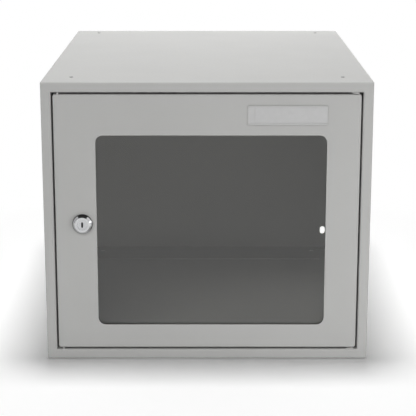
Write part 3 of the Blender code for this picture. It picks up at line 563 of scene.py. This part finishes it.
def lockPlug():
    # From the bottom of the key slot outwards. The slot's outline is a superellipse of power 8, whose
    # reach at an angle is (|cos/a|^8 + |sin/b|^8)^(-1/8); then circles, and the square tail at the back.
    s = plugSizes
    face = -lockSizes["proud"]
    angle = angles(s["columns"])

    def slot(grow):
        wide, tall = s["slotWidth"] / 2 + grow, s["slotHeight"] / 2 + grow
        return (np.abs(np.cos(angle) / wide) ** 8 + np.abs(np.sin(angle) / tall) ** 8) ** (-1 / 8)

    slotRows = [(slot(0) * 0, face + s["slotDepth"]), (slot(0), face + s["slotDepth"]),
                (slot(0), face + s["slotChamfer"]), (slot(s["slotChamfer"]), face)]
    ring, width = s["ringRadius"], s["ringWidth"]
    circleRows = [(ring - width, face), (ring - width / 2, face + s["ringDepth"]), (ring, face),
                  (s["radius"] - s["chamfer"], face), (s["radius"], face + s["chamfer"]),
                  (s["radius"], lockSizes["bodyEnd"])]
    square = s["tailHalf"] / np.maximum(np.abs(np.cos(angle)), np.abs(np.sin(angle)))
    tail = np.minimum(square, s["tailCorner"])
    tailRows = [(tail, lockSizes["bodyEnd"]), (tail, s["tailEnd"])]
    boreRows = [(s["boltRadius"], s["tailEnd"]), (s["boltRadius"], s["boltBoreEnd"]), (0.0, s["boltBoreEnd"])]
    rows = slotRows + circleRows + tailRows + boreRows
    radius = np.vstack([reach + 0 * angle for reach, along in rows])
    depth = np.array([along for reach, along in rows])[:, None] + 0 * angle
    return gridMesh("lockPlug", aroundY(radius, depth, lockX, lockZ), sharp=30)


lockNutSizes = dict(across=0.0220, bore=0.0095)
nutShape = dict(coneDepth=0.06, coneRadius=0.475, coneSlope=1.9, rows=7, columns=72,
                lead=0.0003, mostLead=0.2)              # the cone as shares of the width across flats


def nutMesh(name, node, across, bore, x, z):
    # A hexagon whose corners are turned off by a cone at both faces: the reach is the smaller of the
    # hexagon's and the cone's. The bore is a plain circle with chamfered ends.
    s = nutShape
    near, far = depthsOf(node)
    angle = angles(s["columns"])
    inset = np.concatenate([np.linspace(0, across * s["coneDepth"], s["rows"]), [(far - near) / 2]])
    depth = np.concatenate([near + inset, far - inset[-2::-1]])[:, None]
    toFace = np.minimum(depth - near, far - depth)
    outer = np.minimum(hexReach(angle, across), across * s["coneRadius"] + toFace * s["coneSlope"])
    lead = min(s["lead"], (far - near) * s["mostLead"])
    inner = np.array([bore + lead, bore, bore, bore + lead])[:, None]
    innerDepth = np.array([far, far - lead, near + lead, near])[:, None]
    radius = np.vstack([outer + 0 * angle, inner + 0 * angle])
    return gridMesh(name, aroundY(radius, np.vstack([depth, innerDepth]) + 0 * angle, x, z),
                    loopRows=True, sharp=25)


starSizes = dict(inner=0.0095, outer=0.0108, teeth=18, toothColumns=12, notch=0.0006, twist=0.00022,
                 half=0.00017, rows=6)


def starWasher():
    # A ring whose outer edge is cut into teeth by the sign of cos(teeth * angle), each twisted: towards
    # the edge the depth swings by sin(teeth * angle) times the square of the share of the way out.
    s = starSizes
    middle = sum(depthsOf("lock_washer")) / 2
    angle = angles(s["teeth"] * s["toothColumns"])
    share = np.linspace(0, 1, s["rows"])[:, None]
    reach = s["inner"] + (s["outer"] - s["inner"]) * share
    reach = reach - (share > 0.5) * s["notch"] * (np.cos(angle * s["teeth"]) < 0)
    twist = share ** 2 * s["twist"] * np.sin(angle * s["teeth"])
    radius = np.vstack([reach, reach[::-1]])
    depth = np.vstack([middle - s["half"] + twist, (middle + s["half"] + twist)[::-1]])
    return gridMesh("starWasher", aroundY(radius, depth, lockX, lockZ), loopRows=True, sharp=50)


camSizes = dict(reach=0.0360, width=0.0170, tipWidth=0.0110, edge=0.00035, holeHalf=0.0039,
                holeCorner=0.0047, columns=144)


def camLever():
    # Seen from the front the lever is the outer envelope of two circles: a point's normal runs evenly
    # round, and while it leans less than the tangents do it belongs to the far circle.
    s = camSizes
    near, far = depthsOf("lock_cam")
    big, small = s["width"] / 2, s["tipWidth"] / 2
    gap = s["reach"] - small
    lean = np.arccos((big - small) / gap)
    turn = np.linspace(0, 2 * pi, s["columns"], endpoint=False)
    onTip = np.abs((turn + pi / 2 + pi) % (2 * pi) - pi) < lean
    radius = np.where(onTip, small, big)
    centreDown = np.where(onTip, gap, 0.0)
    square = s["holeHalf"] / np.maximum(np.abs(np.cos(turn)), np.abs(np.sin(turn)))
    hole = np.minimum(square, s["holeCorner"])

    def outline(inset):
        return (radius - inset) * np.cos(turn), (radius - inset) * np.sin(turn) - centreDown

    edge = s["edge"]
    arc = np.linspace(0, pi / 2, 5)
    rows = [(hole * np.cos(turn), hole * np.sin(turn), near)]
    rows += [(*outline(edge * (1 - np.sin(a))), near + edge * (1 - np.cos(a))) for a in arc]
    rows += [(*outline(edge * (1 - np.cos(a))), far - edge * (1 - np.sin(a))) for a in arc]
    rows += [(hole * np.cos(turn), hole * np.sin(turn), far)]
    points = np.stack([np.stack([lockX + u, front + along + 0 * u, lockZ + v], -1) for u, v, along in rows])
    return gridMesh("camLever", points, loopRows=True, sharp=35)


# The head's corners are (down from its top, reach) pairs and the dish (reach, down) pairs.
boltSizes = dict(across=0.0080, radius=0.0024, threadDepth=0.0004, pitch=0.0008, chamfer=0.0006,
                 offWasher=0.0003, under=(0.0039, 0.0050),
                 corners=((0.0006, 0.0050), (0.0004, 0.0044), (0.0002, 0.0041), (0.0, 0.0038)),
                 dish=((0.0022, 0.0), (0.0018, 0.0005), (0.0, 0.0006)), rows=110, columns=72)


def camBolt():
    # A chamfered hexagon head with a dished top, on a threaded shank.
    s = boltSizes
    near, far = depthsOf("cam_bolt")
    headFront = depthsOf("cam_washer")[1] + s["offWasher"]
    angle = angles(s["columns"])
    shank = np.linspace(near, headFront, s["rows"])[:, None]
    threaded = threadRadius(angle, shank, s["radius"], s["threadDepth"], s["pitch"])
    threaded = threaded - endChamfer(shank - near, s["chamfer"])
    down, reach = np.array(s["corners"]).T[..., None]
    head = np.vstack([np.full((2, 1), headFront), far - down])
    limit = np.vstack([np.array(s["under"])[:, None], reach])
    dishReach, dishDown = np.array(s["dish"]).T[..., None]
    radius = np.vstack([0 * angle, threaded, np.minimum(hexReach(angle, s["across"]), limit),
                        dishReach + 0 * angle])
    depth = np.vstack([near, shank, head, far - dishDown]) + 0 * angle
    return gridMesh("camBolt", aroundY(radius, depth, lockX, lockZ), sharp=25)


camWasherSizes = dict(inner=0.0027, outer=0.0060, soften=0.0002, columns=64)


def camWasher():
    # A flat ring with rounded edges.
    s = camWasherSizes
    near, far = depthsOf("cam_washer")
    profile = rounded([(s["inner"], near), (s["outer"], near), (s["outer"], far), (s["inner"], far)],
                      s["soften"], 4)
    radius, depth = turnedRows(profile, s["columns"])
    return gridMesh("camWasher", aroundY(radius, depth, lockX, lockZ), loopRows=True, sharp=50)


addPiece("lockHousing", lockHousing(), "chrome", "door", "lock_housing")
addPiece("lockPlug", lockPlug(), "satin_chrome", "lock", "lock_plug")
addPiece("lockNut", nutMesh("lockNut", "lock_nut", **lockNutSizes, x=lockX, z=lockZ), "zinc", "door",
         "lock_nut")
addPiece("lockWasher", starWasher(), "zinc", "door", "lock_washer")
addPiece("camLever", camLever(), "zinc", "lock", "lock_cam")
addPiece("camWasher", camWasher(), "zinc", "lock", "cam_washer")
addPiece("camBolt", camBolt(), "zinc", "lock", "cam_bolt")
print("lock made")


# Fasteners of the pane

studSizes = dict(radius=0.0020, pitch=0.0007, depth=0.00038, chamfer=0.0005, rows=88, columns=32)
paneNutSizes = dict(across=0.0070, bore=0.0023)


def threadedStud(name, node, x, z):
    # Poles at both ends, a chamfer at the free end and the helix between.
    s = studSizes
    near, far = depthsOf(node)
    angle = angles(s["columns"])
    along = np.linspace(near, far, s["rows"])[:, None]
    radius = threadRadius(angle, along, s["radius"], s["depth"], s["pitch"])
    radius = np.vstack([0 * angle, radius - endChamfer(far - along, s["chamfer"]), 0 * angle])
    depth = np.vstack([near, along, far]) + 0 * angle
    return gridMesh(name, aroundY(radius, depth, x, z), sharp=50)


for number in range(1, 11):
    stud, nut = f"pane_stud_{number}", f"pane_nut_{number}"
    x, z = middleOf(stud)
    addPiece(f"paneStud{number}", threadedStud("paneStud", stud, x, z), "zinc", "door", stud)
    addPiece(f"paneNut{number}", nutMesh("paneNut", nut, **paneNutSizes, x=x, z=z), "zinc", "door", nut)
print("studs and nuts made")


# Hinge pins, bushes, tabs, nibs and buffers

pinSizes = dict(shank=0.00175, head=0.0033, headHeight=0.0015, soften=0.0003)
bushSizes = dict(bore=0.00205, sleeve=0.00275, collar=0.0037, collarHeight=0.0010, soften=0.00025)
bufferSizes = dict(dimple=0.0010, dimpleDepth=0.0002, head=0.0034, headDepth=0.0034, stem=0.0017, barb=0.0025,
                   barbDepth=0.0028, tip=0.0015, soften=0.0006)
turnedColumns = 48
bothEnds = (("top", 1), ("bottom", -1))               # the lower pieces are the upper ones mirrored


def hingePieces():
    # Turned profiles of (radius, height above the door's middle) with their corners rounded.
    for label, flip in bothEnds:
        s = pinSizes
        low, high = heightsOf("pivot_pin_" + label, flip)
        head = high - s["headHeight"]
        pin = rounded([(0, low), (s["shank"], low), (s["shank"], head), (s["head"], head), (s["head"], high),
                       (0, high)], s["soften"], 4, closed=False)
        radius, height = turnedRows(pin, turnedColumns)
        points = aroundZ(radius, doorMiddle + flip * height, hingeX, hingeY)
        addPiece("pivotPin" + label.title(), gridMesh("pivotPin", points, sharp=50), "zinc", "carcass",
                 "pivot_pin_" + label)
        s = bushSizes
        low, high = heightsOf("pivot_bush_" + label, flip)
        collar = low + s["collarHeight"]
        bush = rounded([(s["bore"], low), (s["collar"], low), (s["collar"], collar), (s["sleeve"], collar),
                        (s["sleeve"], high), (s["bore"], high)], s["soften"], 4)
        radius, height = turnedRows(bush, turnedColumns)
        points = aroundZ(radius, doorMiddle + flip * height, hingeX, hingeY)
        addPiece("pivotBush" + label.title(), gridMesh("pivotBush", points, loopRows=True, sharp=50),
                 "white_nylon", "door", "pivot_bush_" + label)


tabSizes = dict(upTo=0.00028, end=0.0008, foot=0.0016, soften=0.00015)
nibSizes = dict(halfWidth=0.00112, proud=0.0004, clear=0.00018, soften=0.00020)
endShares = dict(inset=(0.7, 0.21, 0.0, 0.0, 0.21, 0.7), depth=(0.0, 0.3, 1.0))     # of the softening


def gapPieces():
    # Seen from the front each tab fills the gap at the frame and slopes away from it towards the lock
    # side, and each nib is a plain block. The outline in (x, height) is carried along Y, and its first
    # and last rows are a little smaller, which rounds the ends.
    for label, flip in bothEnds:
        for name, node in (("hingeTab", "pivot_tab_"), ("doorNib", "door_guide_")):
            low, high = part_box(node + label)
            near, far = heightsOf(node + label, flip)
            far += tabSizes["upTo"]
            back, over = high.y, low.y
            if name == "hingeTab":
                corners = [(low.x, far), (low.x, far - tabSizes["end"]), (high.x - tabSizes["foot"], near),
                           (high.x, near), (high.x, far)]
                soften = tabSizes["soften"]
            else:
                x, near, over = (low.x + high.x) / 2, near - nibSizes["clear"], over - nibSizes["proud"]
                left, right = x - nibSizes["halfWidth"], x + nibSizes["halfWidth"]
                corners = [(left, far), (left, near), (right, near), (right, far)]
                soften = nibSizes["soften"]
            outline = rounded(corners, soften, 4)
            centre = (outline.min(0) + outline.max(0)) / 2
            inset = soften * np.array(endShares["inset"])[:, None, None] / (np.ptp(outline, 0) / 2)
            outline = centre + (outline - centre)[None] * (1 - inset)
            step = soften * np.array(endShares["depth"])
            depth = np.concatenate([over + step, back - step[::-1]])
            points = np.stack([outline[..., 0], depth[:, None] + 0 * outline[..., 0],
                               doorMiddle + flip * outline[..., 1]], -1)
            addPiece(name + label.title(), gridMesh(name, points, capEnds=True, sharp=50), "powder_coat",
                     "carcass", node + label)


def bufferPieces():
    # A mushroom turned about Y: a domed head with a dimple, a stem and a barb behind the lip.
    s = bufferSizes
    for label, flip in bothEnds:
        node = "door_buffer_" + label
        near, far = depthsOf(node)
        headBack, barb = near + s["headDepth"], far - s["barbDepth"]
        outline = rounded([(0, near + s["dimpleDepth"]), (s["dimple"], near), (s["head"], near),
                           (s["head"], headBack), (s["stem"], headBack), (s["stem"], barb), (s["barb"], barb),
                           (s["tip"], far), (0, far)], s["soften"], 5, closed=False)
        radius, depth = turnedRows(outline, turnedColumns)
        points = aroundY(radius, depth, *middleOf(node))
        addPiece("doorBuffer" + label.title(), gridMesh("doorBuffer", points, sharp=50), "black_rubber",
                 "carcass", node)


hingePieces()
gapPieces()
bufferPieces()
print("hinge pieces, tabs, nibs and buffers made")


# Label holder and card

holderSizes = dict(base=0.0006, rail=0.0005, wall=0.0006, lip=0.0016, fillet=0.00018)
cardSizes = dict(bow=0.00012, offRails=0.00004, offBase=0.00002)


def labelHolder():
    # The channel's profile in (depth, height) is carried along X. At both ends it shrinks towards its
    # own middle by a quarter circle, which rounds the cut ends.
    s = holderSizes
    low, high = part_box("label_holder")
    half = (high.z - low.z) / 2
    back, over = high.y, low.y
    under, base = over + s["rail"], back - s["base"]
    side = [(back, half), (over, half), (over, half - s["lip"]), (under, half - s["lip"]),
            (under, half - s["wall"]), (base, half - s["wall"])]
    profile = rounded(side + [(y, -z) for y, z in reversed(side)], s["fillet"], 4)
    quarter = np.linspace(0, pi / 2, 5)
    inset, step = s["fillet"] * (1 - np.sin(quarter)), s["fillet"] * (1 - np.cos(quarter))
    inset = np.concatenate([inset, inset[::-1]])[:, None, None]
    along = np.concatenate([low.x + step, (high.x - step)[::-1]])[:, None]
    middle = np.array([[(back + base) / 2, 0.0]])
    outline = profile[None] - np.sign(profile - middle)[None] * inset * np.array([0.5, 1.0])
    points = np.stack([along + 0 * outline[..., 0], outline[..., 0],
                       (low.z + high.z) / 2 + outline[..., 1]], -1)
    return gridMesh("labelHolder", points, capEnds=True, sharp=40)


def labelCard():
    # A thin card, a little bowed forwards between the rails: the depth falls by the bow times
    # (1 - (2u)^2) * (1 - (2v)^2), with u and v from -0.5 to 0.5 across the card.
    low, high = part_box("label_card")
    u = np.linspace(-0.5, 0.5, 25)[:, None]
    v = np.linspace(-0.5, 0.5, 9)[None, :]
    bow = cardSizes["bow"] * (1 - (2 * u) ** 2) * (1 - (2 * v) ** 2)
    x = (low.x + high.x) / 2 + u * (high.x - low.x) + 0 * v
    z = (low.z + high.z) / 2 + v * (high.z - low.z) + 0 * u
    frontFace = np.stack([x, low.y + cardSizes["offRails"] - bow, z], -1)
    backFace = np.stack([x, high.y - cardSizes["offBase"] - bow, z], -1)
    points = np.concatenate([frontFace, backFace[:, ::-1]], 1)
    return gridMesh("labelCard", points, capEnds=True, sharp=40)


addPiece("labelHolder", labelHolder(), "label_frame", "door", "label_holder")
addPiece("labelCard", labelCard(), "label_card", "door", "label_card")
print("label holder and card made")


# Studio

ground = dict(half=30.0, shown=1.315, plain=0.80, fade=(0.34, 0.62), hidden=(0.18, 0.235))
sky = dict(band=2.92, ceiling=0.10, bandTop=(0.10, 0.22))
glossSky = dict(left=0.45, front=0.7, turn=(-0.8, -0.2), right=1.6, rightFrom=(0.955, 0.985), ceiling=0.03,
                top=(0.74, 0.80))
softboxes = {
    "overheadBox": dict(place=(0.0, 0.02, 2.35), size=(0.56, 0.56), power=33.3, aim=(0.0, 0.02, 0.0)),
    "rearBox": dict(place=(0.0, 0.75, 0.75), size=(0.90, 0.25), power=3.8, aim=(0.0, 0.20, 0.35)),
    "rightBox": dict(place=(0.62, -0.82, 0.12), size=(0.45, 0.22), power=1.8, aim=(0.1, -0.25, 0.17)),
    "frontBox": dict(place=(-0.80, -2.60, 2.20), size=(2.00, 0.70), power=41.5, aim=(0.0, -0.25, 0.17)),
}


def studioFloor():
    # Seen by the camera, in gloss and through glass the floor is paler than it is for the light it
    # throws back, so that it goes to white outside the shadow, and is plain white further off and
    # under the locker, where only its holes show it. From below it is clear.
    half = ground["half"]
    points = np.array([[(-half, -half, 0), (half, -half, 0)], [(-half, half, 0), (half, half, 0)]], float)
    mesh = gridMesh("studioFloor", points, loopColumns=False)
    if mesh.polygons[0].normal.z < 0:
        mesh.flip_normals()
    floor = bpy.data.objects.new("studioFloor", mesh)
    bpy.context.scene.collection.objects.link(floor)
    material, tree, shader, place = startMaterial("studioFloor")
    tree.nodes.remove(shader)
    path = put(tree, "ShaderNodeLightPath").outputs
    looked = maths(tree, "MAXIMUM", path["Is Camera Ray"], path["Is Transmission Ray"])
    pale = maths(tree, "MAXIMUM", looked, path["Is Glossy Ray"])
    grey = mixNumber(tree, pale, ground["plain"], ground["shown"])
    lit = put(tree, "ShaderNodeBsdfDiffuse", {"Color": grey})
    white = put(tree, "ShaderNodeEmission", {"Color": (1, 1, 1, 1), "Strength": 1.0})
    far = span(tree, lengthOf(tree, place), *ground["fade"], 0.0, 1.0)
    parts = partsOf(tree, place)
    inside = [maths(tree, "LESS_THAN", maths(tree, "ABSOLUTE", parts[way]), reach)
              for way, reach in zip("XY", ground["hidden"])]
    plain = maths(tree, "MULTIPLY", looked, maths(tree, "ADD", far, maths(tree, "MULTIPLY", *inside)))
    faded = put(tree, "ShaderNodeMixShader", {0: plain, 1: lit.outputs[0], 2: white.outputs[0]})
    below = put(tree, "ShaderNodeNewGeometry").outputs["Backfacing"]
    clear = put(tree, "ShaderNodeBsdfTransparent")
    both = put(tree, "ShaderNodeMixShader", {0: below, 1: faded.outputs[0], 2: clear.outputs[0]})
    tree.links.new(both.outputs[0], tree.nodes["Material Output"].inputs["Surface"])
    mesh.materials.append(material)
    return floor


def studioSky():
    # White for the camera and through glass. As light it is a bright low band under a dim ceiling. In
    # gloss it is pale, dimmer at the left and bright at the far right, under a dark ceiling.
    world = bpy.data.worlds.new("studioSky")
    bpy.context.scene.world = world
    world.use_nodes = True
    tree = world.node_tree
    tree.nodes.clear()
    path = put(tree, "ShaderNodeLightPath").outputs
    seen = maths(tree, "MAXIMUM", path["Is Camera Ray"], path["Is Transmission Ray"])
    way = partsOf(tree, put(tree, "ShaderNodeTexCoord").outputs["Generated"])
    light = span(tree, way["Z"], *sky["bandTop"], sky["band"], sky["ceiling"])
    low = maths(tree, "ADD", span(tree, way["X"], *glossSky["turn"], glossSky["left"], glossSky["front"]),
                span(tree, way["X"], *glossSky["rightFrom"], 0.0, glossSky["right"]))
    gloss = mixNumber(tree, span(tree, way["Z"], *glossSky["top"], 0.0, 1.0), low, glossSky["ceiling"])
    strength = mixNumber(tree, seen, mixNumber(tree, path["Is Glossy Ray"], light, gloss), 1.0)
    background = put(tree, "ShaderNodeBackground", {"Color": (1, 1, 1, 1), "Strength": strength})
    tree.links.new(background.outputs[0], put(tree, "ShaderNodeOutputWorld").inputs["Surface"])


def softbox(name, place, size, power, aim, keepOff=None):
    # An area lamp that faces the point it is aimed at. Neither the camera nor gloss sees it, and it
    # leaves out the floor where that is given, so that the shadow there stays.
    lamp = bpy.data.lights.new(name, "AREA")
    lamp.shape = "RECTANGLE"
    lamp.size, lamp.size_y = size
    lamp.energy = power
    box = bpy.data.objects.new(name, lamp)
    bpy.context.scene.collection.objects.link(box)
    box.visible_camera = box.visible_glossy = False
    box.location = place
    away = np.array(place) - np.array(aim)
    box.rotation_euler = (np.arctan2(np.hypot(*away[:2]), away[2]), 0, np.arctan2(away[0], -away[1]))
    if keepOff:
        left = bpy.data.collections.new(name + "LeavesOut")
        left.objects.link(keepOff)
        left.collection_objects[0].light_linking.link_state = "EXCLUDE"
        box.light_linking.receiver_collection = left


cameraView = dict(distance=1.603, eye=0.608, pitch=13.57, lens=117.3, shift=-0.05, across=0.0022,
                  clip=(0.05, 100))


def photoCamera():
    camera = bpy.data.cameras.new("photoCamera")
    camera.lens = cameraView["lens"]
    camera.shift_x, camera.shift_y = cameraView["across"], cameraView["shift"]
    camera.clip_start, camera.clip_end = cameraView["clip"]
    stand = bpy.data.objects.new("photoCamera", camera)
    bpy.context.scene.collection.objects.link(stand)
    stand.location = (0, front - cameraView["distance"], cameraView["eye"])
    stand.rotation_euler = (radians(90 - cameraView["pitch"]), 0, 0)
    bpy.context.scene.camera = stand


floor = studioFloor()
studioSky()
for name, settings in softboxes.items():
    softbox(name, keepOff=None if name == "overheadBox" else floor, **settings)
photoCamera()
bpy.context.scene.view_settings.view_transform = "Standard"
print("studio and camera set")
